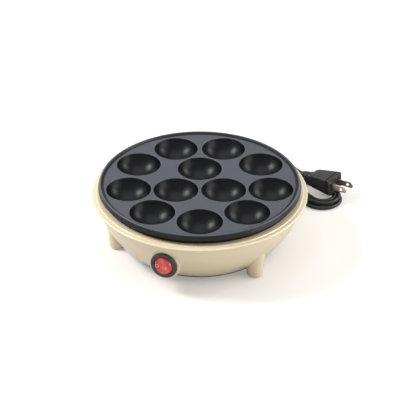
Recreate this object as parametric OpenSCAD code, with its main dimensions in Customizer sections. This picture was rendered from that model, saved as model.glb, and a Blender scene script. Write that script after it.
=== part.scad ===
// Table-top cooker for octopus dumplings: a lift-off cast plate with twelve round pits on a
// moulded three-legged base, with a ring heater, a round rocker switch and a folded mains cord.
// Millimetres. The table is z = 0, the axis of the round plate is Z and the switch faces -Y.

/* [Cooking plate] */
// Radius of a pit at its rim, in the plane of the field
pit_rim_r = 22.5; // [21:0.1:24]
// Depth of a pit below the field
pit_depth = 17; // [15:0.5:19]
// Rounding where a pit meets the field
pit_edge_r = 1; // [0.6:0.1:1.1]
// Wall of the shell under each pit
pit_wall = 2.4; // [2:0.1:3]
// Land between two pits of the inner ring
inner_land = 2.1; // [1.9:0.1:3]
// Land between an inner pit and its outer neighbours
ring_land = 1.7; // [1.7:0.1:3]
// Thickness of the flat field
field_t = 3; // [2.5:0.1:4]
// Field left between the outer pits and the gutter
field_margin = 1.4; // [1.2:0.1:3]
// Width of the gutter inside the lip
gutter_w = 2.8; // [2.4:0.1:4]
// Depth of the gutter below the field
gutter_depth = 1; // [0.5:0.1:1.5]
// Thickness of the lip at its crest
lip_t = 1.7; // [1.5:0.1:2.5]
// Height of the lip above the field
lip_h = 2; // [1.5:0.1:3]
// How far the skirt leans out below the lip
skirt_draft = 1.3; // [0.8:0.1:2]
// Field down to the foot of the skirt
skirt_h = 3.6; // [3.3:0.1:4.5]
// Thickness of the locating rib under the plate
rib_t = 2.8; // [2:0.1:3.5]
// Depth of the locating rib below the foot of the skirt
rib_depth = 4; // [2:0.1:5]
// Radius of the sensing boss under the centre of the plate
sense_boss_r = 7; // [5:0.1:7.5]

/* [Reflector pan] */
// Thickness of the pan's sheet
pan_t = 0.6; // [0.5:0.1:1]
// Radius of the rolled bead
bead_r = 1; // [0.8:0.1:1.2]
// Height of the pan's upright mouth below the bead
pan_mouth_h = 5; // [4:0.5:6]
// Gap between the pits' shells and the pan's floor
pan_gap = 3.1; // [2.5:0.1:4]
// How far the floor's edge lies inside the mouth
pan_taper = 11; // [10:0.5:12]

/* [Base] */
// Height of the casing's top land above the table
base_h = 58; // [56:0.1:62]
// Height of the foot of the pan's bead above the land
bead_stand = 2.7; // [1.5:0.1:3.5]
// Width of the casing's land outside the plate
casing_margin = 2.4; // [1:0.1:4]
// Height of the land above the shoulder
step_h = 1; // [0.8:0.1:4]
// Width of the shoulder round the casing
shoulder_w = 4.1; // [3:0.1:5]
// Height of the shoulder's rim
shoulder_h = 2.5; // [2.2:0.1:4]
// Overhang of the shoulder beyond the bowl
overhang = 2.8; // [1.5:0.1:3.5]
// Radius of the bowl at its foot
foot_r = 78; // [76:0.5:80]
// Height of the bowl's foot above the table
foot_z = 6.5; // [5.5:0.1:8]
// Radius of the bowl's side curve
bowl_curve_r = 118; // [105:1:140]
// Wall of the casing
wall = 2.5; // [2:0.1:3]
// Height of the stepped band round the foot
band_h = 2.3; // [1.5:0.1:3]
// Depth of the stepped band
band_step = 0.5; // [0.3:0.1:0.8]

/* [Legs] */
// Radius of the circle that the legs stand on
leg_ring_r = 84; // [83:0.5:86]
// Radius of a leg near the table
leg_r = 8; // [7.5:0.1:9]
// How much a leg widens towards its top
leg_flare = 2.5; // [1.5:0.1:3]
// Height at which a leg has run into the bowl
leg_top_z = 34; // [32:1:38]
// Gap between the table and the moulding, filled by the rubber foot
leg_clear = 0.6; // [0.4:0.1:1.5]
// Radius of a rubber foot
pad_r = 5; // [4:0.1:5.5]
// Height of a rubber foot
pad_h = 2.4; // [2:0.1:3.5]
// Radius of the hollow in a leg
leg_core_r = 5.6; // [4:0.1:6]

/* [Switch] */
// Depth of the switch's axis below the casing's land
switch_drop = 27; // [26.5:0.1:28]
// Distance of the boss's face from the plate's axis
switch_face = 99.8; // [99:0.1:101]
// Outer radius of the boss in the casing
switch_boss_r = 15.4; // [15:0.1:16]
// Outer radius of the black bezel
bezel_r = 13.5; // [13.2:0.1:14]
// Thickness of the bezel's flange
bezel_t = 2.2; // [2:0.1:2.5]
// Radius of the rocker's round flanks
rocker_ball_r = 9.7; // [9.4:0.1:9.9]
// Depth of the rocker's pivot behind the bezel's front
pivot_depth = 4; // [3.8:0.1:4.4]
// Tilt of each half of the rocker's face
rocker_tilt = 11; // [9:0.5:12]
// Radius of the rocker's trunnions
trunnion_r = 1.5; // [1.2:0.1:1.7]

/* [Heater] */
// Radius of the sheathed heater tube
heater_r = 3.3; // [3:0.1:3.6]
// Height of the tube's centre above the pan's floor
heater_lift = 7.5; // [7:0.1:8]
// Distance between the heater's two legs
heater_leg_gap = 24; // [22:1:28]
// Bend radius where the tube turns down
heater_bend_r = 6; // [5.5:0.1:6.4]
// Middle of the gap in the heater ring, as an angle about Z
heater_gap_angle = 150; // [145:1:155]

/* [Cord] */
// Diameter of the mains cord
cord_d = 4; // [3.8:0.1:4.2]
// Air between two loops of the folded cord
cord_gap = 0.45; // [0.45:0.05:0.6]
// Length of the straight runs of the folded hank
hank_run = 80; // [70:1:90]
// Radius of the widest fold
hank_fold_r = 20.8; // [20.5:0.1:23]
// How far the tie draws the runs in
hank_waist = 5; // [3:0.5:5]
// Depth of the cord's outlet below the casing's land
outlet_drop = 32; // [31:0.5:34]
// Distance of the outlet boss's face from the plate's axis
outlet_face = 96; // [95:0.5:97]

/* [Plug] */
// Length of the plug's body
plug_len = 27.5; // [24:0.5:30]
// Width of the plug's front
plug_w = 24.5; // [20:0.5:26]
// Thickness of the plug's front
plug_t = 18.5; // [17:0.1:21]
// Width of the plug's back
plug_back_w = 17.5; // [16:0.5:20]
// Thickness of the plug's back
plug_back_t = 15; // [14.6:0.2:18]
// Thickness of the flange round the plug's front
plug_flange = 2.6; // [2:0.1:3.5]
// Depth of the recess that the blades stand in
plug_recess = 1.2; // [0.8:0.1:2]
// Distance between the blades
blade_pitch = 12.7; // [12.7]
// Width of a blade
blade_w = 6.35; // [6.3:0.05:6.4]
// Thickness of a blade
blade_t = 1.5; // [1.4:0.1:1.6]
// Length of a blade outside the body
blade_len = 18.3; // [16:0.1:18.5]

/* [Hidden] */

fine = 180; // facets asked of the large turned forms
mid = 72;   // facets asked of bosses and legs
small = 32; // facets asked of screws and pins
eps = 0.01; // overlap that makes one solid of two shapes

CREAM = [0.88, 0.82, 0.68];
PLATE_GREY = [0.27, 0.28, 0.31];
BLACK = [0.14, 0.14, 0.15];
RED = [0.85, 0.16, 0.13];
STEEL = [0.72, 0.72, 0.72];
BRASS = [0.80, 0.67, 0.42];
WHITE = [0.93, 0.92, 0.88];

// ---- fits -------------------------------------------------------------------------------
seat_gap = 0.2;     // plate above the pan's bead
slip = 0.1;         // a part that drops into its hole
rim_clear = 0.7;    // rib of the plate inside the pan's mouth
pan_clear = 0.2;    // pan inside the casing's mouth
running = 0.05;     // trunnion in its bore
touch = 0.15;       // pieces that lie on each other along curved faces

// ---- plate and pan, from the pits outwards -------------------------------------------------
inner_count = 3;
outer_count = 9;
inner_ring_r = (2 * pit_rim_r + inner_land) / (2 * sin(180 / inner_count));
ring_skew = 180 / outer_count;
pit_spacing = 2 * pit_rim_r + ring_land;
outer_ring_r = inner_ring_r * cos(ring_skew)
    + sqrt(pow(pit_spacing, 2) - pow(inner_ring_r * sin(ring_skew), 2));
inner_angle = 110;
outer_angle = inner_angle + ring_skew;
pit_ball_r = (pow(pit_rim_r, 2) + pow(pit_depth, 2)) / (2 * pit_depth);
pit_ball_up = pit_ball_r - pit_depth;

field_r = outer_ring_r + pit_rim_r + field_margin;
lip_r = field_r + gutter_w + lip_t;
plate_r = lip_r + skirt_draft;
rib_r = field_r + 0.5;

pan_mouth_r = rib_r + rim_clear;
pan_outer_r = pan_mouth_r + pan_t;
bead_ring_r = pan_outer_r + bead_r - pan_t / 2;
bead_z = base_h + bead_stand + bead_r;
plate_foot_z = bead_z + bead_r + seat_gap;
field_z = plate_foot_z + skirt_h;
field_under_z = field_z - field_t;
pan_floor_z = field_z - pit_depth - pit_wall - pan_gap;
pan_under_z = pan_floor_z - pan_t;
pan_floor_r = pan_mouth_r - pan_taper;
pan_knee_z = bead_z - pan_mouth_h;
sense_boss_z = field_z - pit_depth - pit_wall + 0.4;

// ---- casing -----------------------------------------------------------------------------------
step_r = plate_r + casing_margin;
shoulder_r = step_r + shoulder_w;
shoulder_z = base_h - step_h;
bowl_top_z = shoulder_z - shoulder_h;
bowl_top_r = shoulder_r - overhang;
mouth_r = pan_outer_r + pan_clear;
edge_r = min(1.2, 0.45 * shoulder_h);   // rounding of the shoulder's rim
step_edge_r = min(0.8, 0.8 * step_h);   // rounding of the land's edge

// Centre of the bowl's side curve, which passes through the foot and the shoulder's underside.
chord = [bowl_top_r - foot_r, bowl_top_z - foot_z];
chord_len = norm(chord);
bowl_centre = [foot_r, foot_z] + chord / 2
    + sqrt(pow(bowl_curve_r, 2) - pow(chord_len / 2, 2)) * [-chord[1], chord[0]] / chord_len;

// Radius of the bowl at height z, on its outer face (inset 0) or `inset` inside it.
function bowl_r(z, inset = 0) =
    bowl_centre[0] + sqrt(pow(bowl_curve_r - inset, 2) - pow(z - bowl_centre[1], 2));

leg_angles = [-30, 90, 210];
pan_post_angles = [60, 180, 300];
cover_post_angles = [30, 150, 270];
pan_post_r = 78;
post_r = 3.6;
rib_w = 2;
screw_r = 1.45;
pilot_r = screw_r + running;
screw_head_r = 3.1;
screw_head_h = 1.9;
cover_t = 1.2;
cover_r = foot_r - 1.2;
cover_post_r = cover_r - 8.8;

// ---- switch -------------------------------------------------------------------------------------
switch_z = base_h - switch_drop;
bezel_front = switch_face + bezel_t;
pivot_at = bezel_front - pivot_depth;
rocker_cavity_r = rocker_ball_r + 0.3;
neck_r = rocker_cavity_r + 1.5;
neck_len = 8;
body_w = 19;
body_h = 18;
body_back = switch_face - 24;
boss_wall = 2.6;
lamp_r = 2;
terminal_len = 7;
terminal_pitch = 6;
rocker_face = 5; // pivot to the face's middle line

// ---- heater and what hangs under the pan --------------------------------------------------------
heater_ring_r = (inner_ring_r + outer_ring_r) / 2;
heater_z = pan_floor_z + heater_lift;
heater_straight = 2; // between the ring and each bend
heater_swage = 0.1;  // the straight ends are this much thinner
heater_lap = 0.4;    // and run this far into the bends
heater_turn = heater_straight + heater_bend_r;
heater_gap_half = atan(heater_turn / heater_ring_r)
    + asin(heater_leg_gap / 2 / norm([heater_ring_r, heater_turn]));
heater_leg_x = heater_ring_r * cos(heater_gap_half) + heater_turn * sin(heater_gap_half);
heater_leg_end = pan_under_z - 6;
pin_r = 1.6;
pin_len = 7;
insulator_r = heater_r + 1.8;
insulator_flange_r = insulator_r + 2;
insulator_flange_h = 1.5;
clip_angles = [30, 270];
clip_w = 10;
clip_t = 0.8;
clip_foot = 5;
clip_rivet_r = 0.95;
clip_rivet_at = heater_r + touch + clip_t + clip_foot / 2; // from the tube's centre

thermostat_r = 7.8;
thermostat_ear_r = 12;
thermostat_ear_t = 0.8;
thermostat_body_h = 6.5;
blade_terminal = [5, 0.8, 6];
fuse_r = 2;
fuse_len = 12;
fuse_lead_r = 0.5;
fuse_lead_len = 7;
fuse_at = [-18, -26];
fuse_z = pan_under_z - fuse_r - 1;

// ---- cord ---------------------------------------------------------------------------------------
cord_r = cord_d / 2;
outlet_z = base_h - outlet_drop;
outlet_angle = 118;
outlet_boss_r = 8;
gland_flange_r = 6.5;
gland_flange_t = 2;
gland_neck_r = 4.6;
gland_len = 22;
gland_tip = outlet_face + gland_len;
gland_hole_r = 4.3;
cord_inner_end = 64;
clamp_at = 74;
clamp_post_gap = 17;
clamp_t = 2.4;
outlet_dir = [cos(outlet_angle), sin(outlet_angle), 0];
lead_start = gland_tip * outlet_dir + [0, 0, outlet_z];

// The folded hank: four loops in two layers, winding in below and out again above.
hank_at = [95.8, 113.3];  // middle of the fold that shows, beside the base
hank_angle = -28;         // direction of the first run
hank_loops = 4;
layer_loops = 2;          // loops beside each other in a layer
run_rings = 4;            // rings along a run
fold_rings = 8;           // rings round a fold
loop_rings = 2 * (run_rings + fold_rings);
waist_slope = PI * hank_waist / hank_run;
hank_step = (cord_d + cord_gap) / cos(atan(waist_slope));
layer_h = cord_d + cord_gap;
tie_w = 3;
tie_t = 0.6;
tie_lift = tie_t + 0.15;
hank_z = cord_r;
hank_top = hank_z + (hank_loops / layer_loops - 1) * layer_h + cord_r;

// Distance of the cord from the hank's long axis after t loops; it changes at a steady rate
// and turns back in the middle of the run that climbs.
function hank_offset(t) =
    let (s = t - run_rings / 2 / loop_rings, m = s % (2 * layer_loops))
    hank_fold_r - hank_step * (m <= layer_loops ? m : 2 * layer_loops - m);
// Layer after t loops: it climbs along the first run of each layer but the first.
function hank_layer(t) =
    let (k = floor(t / layer_loops), run = min(1, (t - k * layer_loops) * loop_rings / run_rings))
    k < 1 ? 0 : k - 1 + (1 - cos(180 * run)) / 2;
// Pull of the tie, 0 at the folds and 1 at the middle of a run.
function waist_pull(x) = pow(sin(180 * (x + hank_run) / hank_run), 2);
// Ring i of the hank, in the hank's own frame: x along its axis, 0 at the fold that shows.
function hank_ring(i) =
    let (
        t = i / loop_rings,
        k = i % loop_rings,
        r = hank_offset(t),
        z = hank_z + layer_h * hank_layer(t),
        half = run_rings + fold_rings
    )
    k <= run_rings ?
        let (x = hank_run * (k / run_rings - 1), w = waist_pull(x))
        [x, -r + hank_waist * w, z + tie_lift * w]
    : k <= half ?
        let (a = 180 * (k - run_rings) / fold_rings - 90) [r * cos(a), r * sin(a), z]
    : k <= half + run_rings ?
        let (x = -hank_run * (k - half) / run_rings, w = waist_pull(x))
        [x, r - hank_waist * w, z + tie_lift * w]
    : let (a = 180 * (k - half - run_rings) / fold_rings + 90)
        [-hank_run + r * cos(a), r * sin(a), z];
hank_last = hank_loops * loop_rings;
hank_path = concat(
    [hank_ring(0) - [cord_d, 0, 0]],
    [for (i = [0:hank_last]) hank_ring(i)],
    [hank_ring(hank_last) + [cord_d, 0, 0]]
);
// From the hank's frame to the part's.
function from_hank(p) = [
    hank_at[0] + p[0] * cos(hank_angle) - p[1] * sin(hank_angle),
    hank_at[1] + p[0] * sin(hank_angle) + p[1] * cos(hank_angle),
    p[2]
];
hank_dir = [cos(hank_angle), sin(hank_angle), 0];
lead_end = from_hank(hank_path[0]);
tail_start = from_hank(hank_path[len(hank_path) - 1]);

// The plug lies on the hank's fold; its front face looks along plug_angle and a little up.
plug_front = [107.7, 119.4];
plug_angle = -17;
plug_pitch = 4.5;
plug_z = hank_top + tie_lift / 4 + touch
    + max(plug_t / 2, plug_back_t / 2 + plug_len * sin(plug_pitch));
plug_dir = [
    cos(plug_angle) * cos(plug_pitch), sin(plug_angle) * cos(plug_pitch), sin(plug_pitch)
];
relief_len = 20;
relief_root_r = 6;
relief_tip_r = cord_r + 1.3;
relief_ribs = 4;
tail_end = [plug_front[0], plug_front[1], plug_z] - (plug_len + relief_len) * plug_dir;

// Routes of the free cord, between the pieces that it meets.
lead_points = [
    [-59, 111, 25.5], [-62, 118.5, 23], [-64, 125.5, 18.5], [-64, 132, 13], [-61.5, 138.5, 8],
    [-56.5, 143.5, 4.5], [-49.5, 147.6, 2.5], [-41, 150.2, 2], [-32, 150.9, 2], [-23, 149.8, 2],
    [-15, 147.3, 2], [-7.5, 144, 2], [0.5, 139.9, 2]
];
lead_path = concat(
    [lead_start, lead_start + cord_d * outlet_dir], lead_points,
    [lead_end - cord_d * hank_dir, lead_end]
);
tail_points = [
    [25.5, 127.9, 7.3], [30.9, 126.9, 9.3], [36.7, 128, 11.3], [42.3, 130.9, 12.9],
    [48.3, 133, 13.7], [54.5, 134.2, 14.3]
];
tail_path = concat(
    [tail_start, tail_start + 1.5 * hank_dir], tail_points, [tail_end - 1.5 * plug_dir, tail_end]
);

// Routes of the wires under the pan.
wire_d = 2;
wire_in = cord_inner_end * outlet_dir + [0, 0, outlet_z];
terminal_y = -(body_back - terminal_len);
function leg_xy(side) =
    let (c = heater_leg_x, s = side * heater_leg_gap / 2, a = heater_gap_angle)
    [c * cos(a) - s * sin(a), c * sin(a) + s * cos(a)];
pin_tip_z = heater_leg_end - pin_len;
pin_a = [leg_xy(-1)[0], leg_xy(-1)[1], pin_tip_z];
pin_b = [leg_xy(1)[0], leg_xy(1)[1], pin_tip_z];
stat_blade_z = pan_under_z - thermostat_body_h - blade_terminal[2];
stat_blade_x = 5;
fuse_tip = fuse_len / 2 + fuse_lead_len;
// Points [x, y, depth] that hang below the pan.
function hung(points) = [for (p = points) [p[0], p[1], pan_under_z - p[2]]];

// Least distance between two stretches of a tube's path that lie at least `apart` rings apart.
function seg_gap(p, q) = norm(p - q);
function own_gap(path, d, apart) = min([
    for (i = [0:len(path) - 1]) for (j = [i + apart:1:len(path) - 1]) seg_gap(path[i], path[j])
]) - d;
hank_least_gap = own_gap(hank_path, cord_d, 8);
echo(hank_loops = hank_loops, least_gap_mm = hank_least_gap, top_mm = hank_top);  // cord_hank

// ---- tools for shapes ------------------------------------------------------------------------
function unit(v) = v / norm(v);
function tangents(p) = [
    for (i = [0:len(p) - 1]) unit(p[min(i + 1, len(p) - 1)] - p[max(i - 1, 0)])
];
function square_to(t) = unit(cross(t, abs(t[2]) < 0.9 ? [0, 0, 1] : [1, 0, 0]));
// Normals carried along the tangents without twist.
function carried(t) = [
    for (i = 0, n = square_to(t[0]); i < len(t);
        i = i + 1, n = i < len(t) ? unit(n - (n * t[i]) * t[i]) : n) n
];
// A tube of diameter d along a path, flat side down where the path is level.
module tube(path, d, sides) {
    t = tangents(path);
    n = carried(t);
    last = len(path) - 1;
    rings = [
        for (i = [0:last]) for (k = [0:sides - 1])
            let (a = 360 * (k + 0.5) / sides - 90)
            path[i] + d / 2 * (cos(a) * n[i] + sin(a) * cross(n[i], t[i]))
    ];
    around = [
        for (i = [0:last - 1]) for (k = [0:sides - 1])
            let (a = i * sides + k, b = i * sides + (k + 1) % sides)
            each [[a, b, b + sides], [a, b + sides, a + sides]]
    ];
    ends = [
        for (k = [1:sides - 2])
            each [[0, k + 1, k], [last * sides, last * sides + k, last * sides + k + 1]]
    ];
    polyhedron(points = rings, faces = concat(around, ends), convexity = 10);
}
module spin(fn = fine) rotate_extrude($fn = fn) children();
// Copies round the Z axis at the given angles, moved out to radius r.
module round_axis(angles, r) for (a = angles) rotate(a) translate([r, 0, 0]) children();
// Places children with +Z along the horizontal direction `angle`, starting at the axis.
module outward(angle, z) translate([0, 0, z]) rotate(angle - 90) rotate([-90, 0, 0]) children();
module slot_2d(length, width) {
    square([length - width, width], center = true);
    for (x = [-1, 1]) translate([x * (length - width) / 2, 0]) circle(d = width, $fn = small);
}
// Rectangle with rounded corners about the origin.
module rounded_2d(size, r) {
    square([size[0] - 2 * r, size[1]], center = true);
    square([size[0], size[1] - 2 * r], center = true);
    for (x = [-1, 1]) for (y = [-1, 1])
        translate([x * (size[0] / 2 - r), y * (size[1] / 2 - r)]) circle(r, $fn = small);
}

// ---- cooking plate ----------------------------------------------------------------------------
module at_pits() {
    round_axis([for (i = [0:inner_count - 1]) inner_angle + 360 * i / inner_count],
        inner_ring_r) children();
    round_axis([for (i = [0:outer_count - 1]) outer_angle + 360 * i / outer_count],
        outer_ring_r) children();
}
// Half section of a pit's hollow, z measured from the field, with a rounded rim.
module pit_section() {
    edge_x = sqrt(pow(pit_ball_r + pit_edge_r, 2) - pow(pit_ball_up + pit_edge_r, 2));
    blend_z = -pit_edge_r + pit_edge_r * (pit_ball_up + pit_edge_r) / (pit_ball_r + pit_edge_r);
    intersection() {
        translate([0, pit_ball_up]) circle(pit_ball_r, $fn = fine);
        translate([0, -pit_depth - 1]) square([pit_rim_r + 1, pit_depth + 1 + blend_z]);
    }
    difference() {
        translate([0, blend_z - eps]) square([edge_x, eps - blend_z]);
        translate([edge_x, -pit_edge_r]) circle(pit_edge_r, $fn = mid);
    }
    square([edge_x, 1]);
}
module plate_section() {
    groove_z = field_z - gutter_depth;
    crest_z = field_z + lip_h;
    crest_r = lip_t / 2;
    polygon([
        [0, field_under_z], [0, field_z], [field_r, field_z],
        [field_r + 0.7, groove_z], [field_r + gutter_w * 0.6, groove_z],
        [field_r + gutter_w, crest_z - crest_r], [lip_r, crest_z - crest_r],
        [plate_r, plate_foot_z + 1.2], [plate_r, plate_foot_z + 0.5],
        [plate_r - 0.5, plate_foot_z], [rib_r, plate_foot_z],
        [rib_r, plate_foot_z - rib_depth + 0.8], [rib_r - 0.8, plate_foot_z - rib_depth],
        [rib_r - rib_t, plate_foot_z - rib_depth], [rib_r - rib_t, field_under_z]
    ]);
    translate([lip_r - crest_r, crest_z - crest_r]) circle(crest_r, $fn = mid);
}
module cooking_plate() color(PLATE_GREY) difference() {
    union() {
        spin() plate_section();
        intersection() {
            at_pits() translate([0, 0, field_z + pit_ball_up])
                sphere(pit_ball_r + pit_wall, $fn = fine);
            cylinder(r = plate_r - 1, h = field_under_z + eps, $fn = fine);
        }
        translate([0, 0, sense_boss_z])
            cylinder(r = sense_boss_r, h = field_under_z - sense_boss_z + eps, $fn = mid);
    }
    at_pits() translate([0, 0, field_z]) spin() pit_section();
}

// ---- casing -------------------------------------------------------------------------------------
// Half section of the bowl, `inset` inside its outer face, between two heights.
module bowl_section(inset, z0, z1) intersection() {
    translate(bowl_centre) circle(bowl_curve_r - inset, $fn = 4 * fine);
    translate([0, z0]) square([bowl_top_r + overhang, z1 - z0]);
}
module casing_outer_section() {
    bowl_section(0, foot_z + band_h, bowl_top_z + eps);
    bowl_section(band_step, foot_z, foot_z + band_h + eps);
    translate([0, bowl_top_z]) square([shoulder_r - edge_r, shoulder_h]);
    translate([0, bowl_top_z + edge_r]) square([shoulder_r, shoulder_h - 2 * edge_r]);
    for (z = [bowl_top_z + edge_r, shoulder_z - edge_r])
        translate([shoulder_r - edge_r, z]) circle(edge_r, $fn = mid);
    translate([0, shoulder_z - eps]) square([step_r, step_h - step_edge_r + eps]);
    translate([0, shoulder_z]) square([step_r - step_edge_r, step_h]);
    translate([step_r - step_edge_r, base_h - step_edge_r]) circle(step_edge_r, $fn = mid);
}
module casing_inner_section() {
    ceiling_z = base_h - wall;
    bowl_section(wall, foot_z - 1, bowl_top_z);
    translate([0, bowl_top_z - eps]) square([step_r - wall, ceiling_z - bowl_top_z + eps]);
    translate([0, bowl_top_z]) square([mouth_r, base_h - bowl_top_z + 1]);
}
module inside_bowl() spin() bowl_section(wall, foot_z - 1, bowl_top_z);
module leg_body() {
    round_r = 2;
    spin(mid) difference() {
        union() {
            translate([0, leg_clear]) square([leg_r - round_r, round_r + 1]);
            translate([leg_r - round_r, leg_clear + round_r]) circle(round_r, $fn = mid);
            polygon([
                [0, leg_clear + round_r], [leg_r, leg_clear + round_r],
                [leg_r + leg_flare, leg_top_z], [0, leg_top_z]
            ]);
        }
        translate([-round_r * 4, 0]) square([round_r * 4, leg_top_z + 1]);
    }
}
// Round boss on the wall with a rounded front edge; its face is `face` from the axis.
module wall_boss(angle, z, r, face) {
    round_r = 1;
    difference() {
        outward(angle, z) spin(mid) {
            translate([0, face / 2]) square([r - round_r, face / 2]);
            translate([0, face / 2]) square([r, face / 2 - round_r]);
            translate([r - round_r, face - round_r]) circle(round_r, $fn = mid);
        }
        inside_bowl();
    }
}
// Clears the wall in front of a boss's face, with a flared edge.
module face_cut(angle, z, r, face) outward(angle, z) translate([0, 0, face])
    cylinder(r1 = r, r2 = r + 4, h = 6, $fn = mid);
// Screw post of the casing at radius r, tied to the wall by a rib.
module post(angle, r, z0, z1) rotate(angle) {
    translate([r, 0, z0]) cylinder(r = post_r, h = z1 - z0, $fn = mid);
    translate([r, -rib_w / 2, z0 + 3]) cube([shoulder_r - r, rib_w, z1 - z0 - 4]);
}
module casing_posts() intersection() {
    union() {
        for (a = pan_post_angles) post(a, pan_post_r, foot_z + 6, pan_under_z);
        for (a = cover_post_angles) post(a, cover_post_r, foot_z, foot_z + 12);
        at_clamp_posts() translate([0, 0, foot_z + 2])
            cylinder(r = post_r, h = outlet_z - cord_r - foot_z - 2, $fn = mid);
        rotate(outlet_angle) for (y = [-1, 1])
            translate([clamp_at, y * clamp_post_gap / 2 - rib_w / 2, foot_z + 2])
                cube([bowl_top_r - clamp_at, rib_w, outlet_z - cord_r - foot_z - 4]);
    }
    spin() bowl_section(wall / 2, foot_z, bowl_top_z);
}
module at_clamp_posts() rotate(outlet_angle) for (y = [-1, 1])
    translate([clamp_at, y * clamp_post_gap / 2, 0]) children();
module casing() color(CREAM) difference() {
    union() {
        spin() difference() {
            casing_outer_section();
            casing_inner_section();
        }
        round_axis(leg_angles, leg_ring_r) leg_body();
        wall_boss(-90, switch_z, switch_boss_r, switch_face);
        wall_boss(outlet_angle, outlet_z, outlet_boss_r, outlet_face);
        casing_posts();
    }
    round_axis(leg_angles, leg_ring_r) {
        cylinder(r = pad_r + slip, h = pad_h + slip, $fn = mid);
        translate([0, 0, pad_h + 2]) cylinder(r = leg_core_r, h = leg_top_z, $fn = mid);
    }
    face_cut(-90, switch_z, switch_boss_r, switch_face);
    face_cut(outlet_angle, outlet_z, outlet_boss_r, outlet_face);
    outward(-90, switch_z) {
        translate([0, 0, switch_face / 2])
            cylinder(r = switch_boss_r - boss_wall, h = switch_face / 2 - boss_wall, $fn = mid);
        translate([0, 0, switch_face / 2])
            cylinder(r = neck_r + slip, h = switch_face / 2 + 1, $fn = mid);
    }
    outward(outlet_angle, outlet_z) translate([0, 0, outlet_face / 2 + 30])
        cylinder(r = gland_hole_r + slip, h = outlet_face / 2, $fn = mid);
    round_axis(pan_post_angles, pan_post_r) translate([0, 0, pan_under_z - 12])
        cylinder(r = pilot_r, h = 13, $fn = small);
    round_axis(cover_post_angles, cover_post_r) translate([0, 0, foot_z - 1])
        cylinder(r = pilot_r, h = 11, $fn = small);
    at_clamp_posts() translate([0, 0, outlet_z - cord_r - 9])
        cylinder(r = pilot_r, h = 10, $fn = small);
}
module rubber_feet() color(BLACK) round_axis(leg_angles, leg_ring_r)
    spin(mid) {
        square([pad_r, pad_h - 0.4]);
        translate([0, pad_h - 0.4 - eps]) square([pad_r - 0.4, 0.4 + eps]);
    }

// ---- cover under the base ------------------------------------------------------------------------
module bottom_cover() color(BLACK) difference() {
    z1 = foot_z;
    z0 = z1 - cover_t;
    bead_at = 24;
    union() {
        translate([0, 0, z0]) cylinder(r = cover_r, h = cover_t, $fn = fine);
        // locating rim inside the bowl's foot
        spin() translate([bowl_r(foot_z, wall) - 2.2, z1 - eps]) square([1.2, 2]);
        // stiffening swage
        spin() translate([bead_at, z1]) circle(cover_t, $fn = mid);
    }
    spin() translate([bead_at, z0]) circle(cover_t * 0.8, $fn = mid);
    round_axis(leg_angles, leg_ring_r) translate([0, 0, -1])
        cylinder(r = leg_r + 0.6, h = foot_z + 4, $fn = mid);
    round_axis(cover_post_angles, cover_post_r) {
        translate([0, 0, z0 - 1]) cylinder(r = screw_r + 0.2, h = cover_t + 2, $fn = small);
        translate([0, 0, z1 - eps]) cylinder(r = post_r + 0.5, h = 4, $fn = mid);
    }
    at_clamp_posts() translate([0, 0, z1 - eps]) cylinder(r = post_r + 0.5, h = 4, $fn = mid);
    for (a = [0, 120, 240]) for (i = [-3:3]) rotate(a + 8 * i)
        translate([46, 0, z0 - 1]) linear_extrude(cover_t + 2) slot_2d(18, 3);
}
module screw(head_down = false) mirror([0, 0, head_down ? 1 : 0]) {
    shank = 9;
    translate([0, 0, -shank]) cylinder(r = screw_r, h = shank + eps, $fn = small);
    difference() {
        spin(small) intersection() {
            translate([0, -screw_head_r * 1.2 + screw_head_h])
                circle(screw_head_r * 1.2, $fn = mid);
            square([screw_head_r, screw_head_h]);
        }
        for (a = [0, 90]) rotate(a) translate([-1.9, -0.4, screw_head_h - 0.9])
            cube([3.8, 0.8, 2]);
    }
}
module cover_screws() color(STEEL) round_axis(cover_post_angles, cover_post_r)
    translate([0, 0, foot_z - cover_t]) screw(head_down = true);

// ---- reflector pan ----------------------------------------------------------------------------------
module pan_section() {
    polygon([
        [0, pan_under_z], [pan_floor_r, pan_under_z],
        [pan_outer_r, pan_knee_z], [pan_outer_r, bead_z],
        [pan_mouth_r, bead_z], [pan_mouth_r, pan_knee_z + 0.2],
        [pan_floor_r - 0.3, pan_floor_z], [0, pan_floor_z]
    ]);
    translate([bead_ring_r, bead_z]) circle(bead_r, $fn = mid);
}
module at_heater_legs() for (side = [-1, 1])
    translate([leg_xy(side)[0], leg_xy(side)[1], 0]) children();
module reflector_pan() color(STEEL) difference() {
    spin() pan_section();
    translate([0, 0, pan_under_z - 1])
        cylinder(r = thermostat_r + 0.5, h = pan_t + 2, $fn = mid);
    at_heater_legs() translate([0, 0, pan_under_z - 1])
        cylinder(r = insulator_r + slip, h = pan_t + 2, $fn = mid);
    round_axis(pan_post_angles, pan_post_r) translate([0, 0, pan_under_z - 1])
        cylinder(r = screw_r + 0.2, h = pan_t + 2, $fn = small);
    at_rivets() translate([0, 0, pan_under_z - 1]) cylinder(r = 1.3, h = pan_t + 2, $fn = small);
    at_clip_rivets() translate([0, 0, pan_under_z - 1])
        cylinder(r = clip_rivet_r + slip, h = pan_t + 2, $fn = small);
}
module pan_screws() color(STEEL) round_axis(pan_post_angles, pan_post_r)
    translate([0, 0, pan_floor_z]) screw();

// ---- heater -------------------------------------------------------------------------------------------
module heater_tube() color([0.32, 0.31, 0.30]) {
    rotate(heater_gap_angle + heater_gap_half)
        rotate_extrude(angle = 360 - 2 * heater_gap_half, $fn = fine)
            translate([heater_ring_r, 0]) translate([0, heater_z]) circle(heater_r, $fn = mid);
    for (side = [-1, 1]) rotate(heater_gap_angle + side * heater_gap_half)
        translate([heater_ring_r, 0, heater_z - heater_bend_r]) heater_end(side);
}
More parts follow.
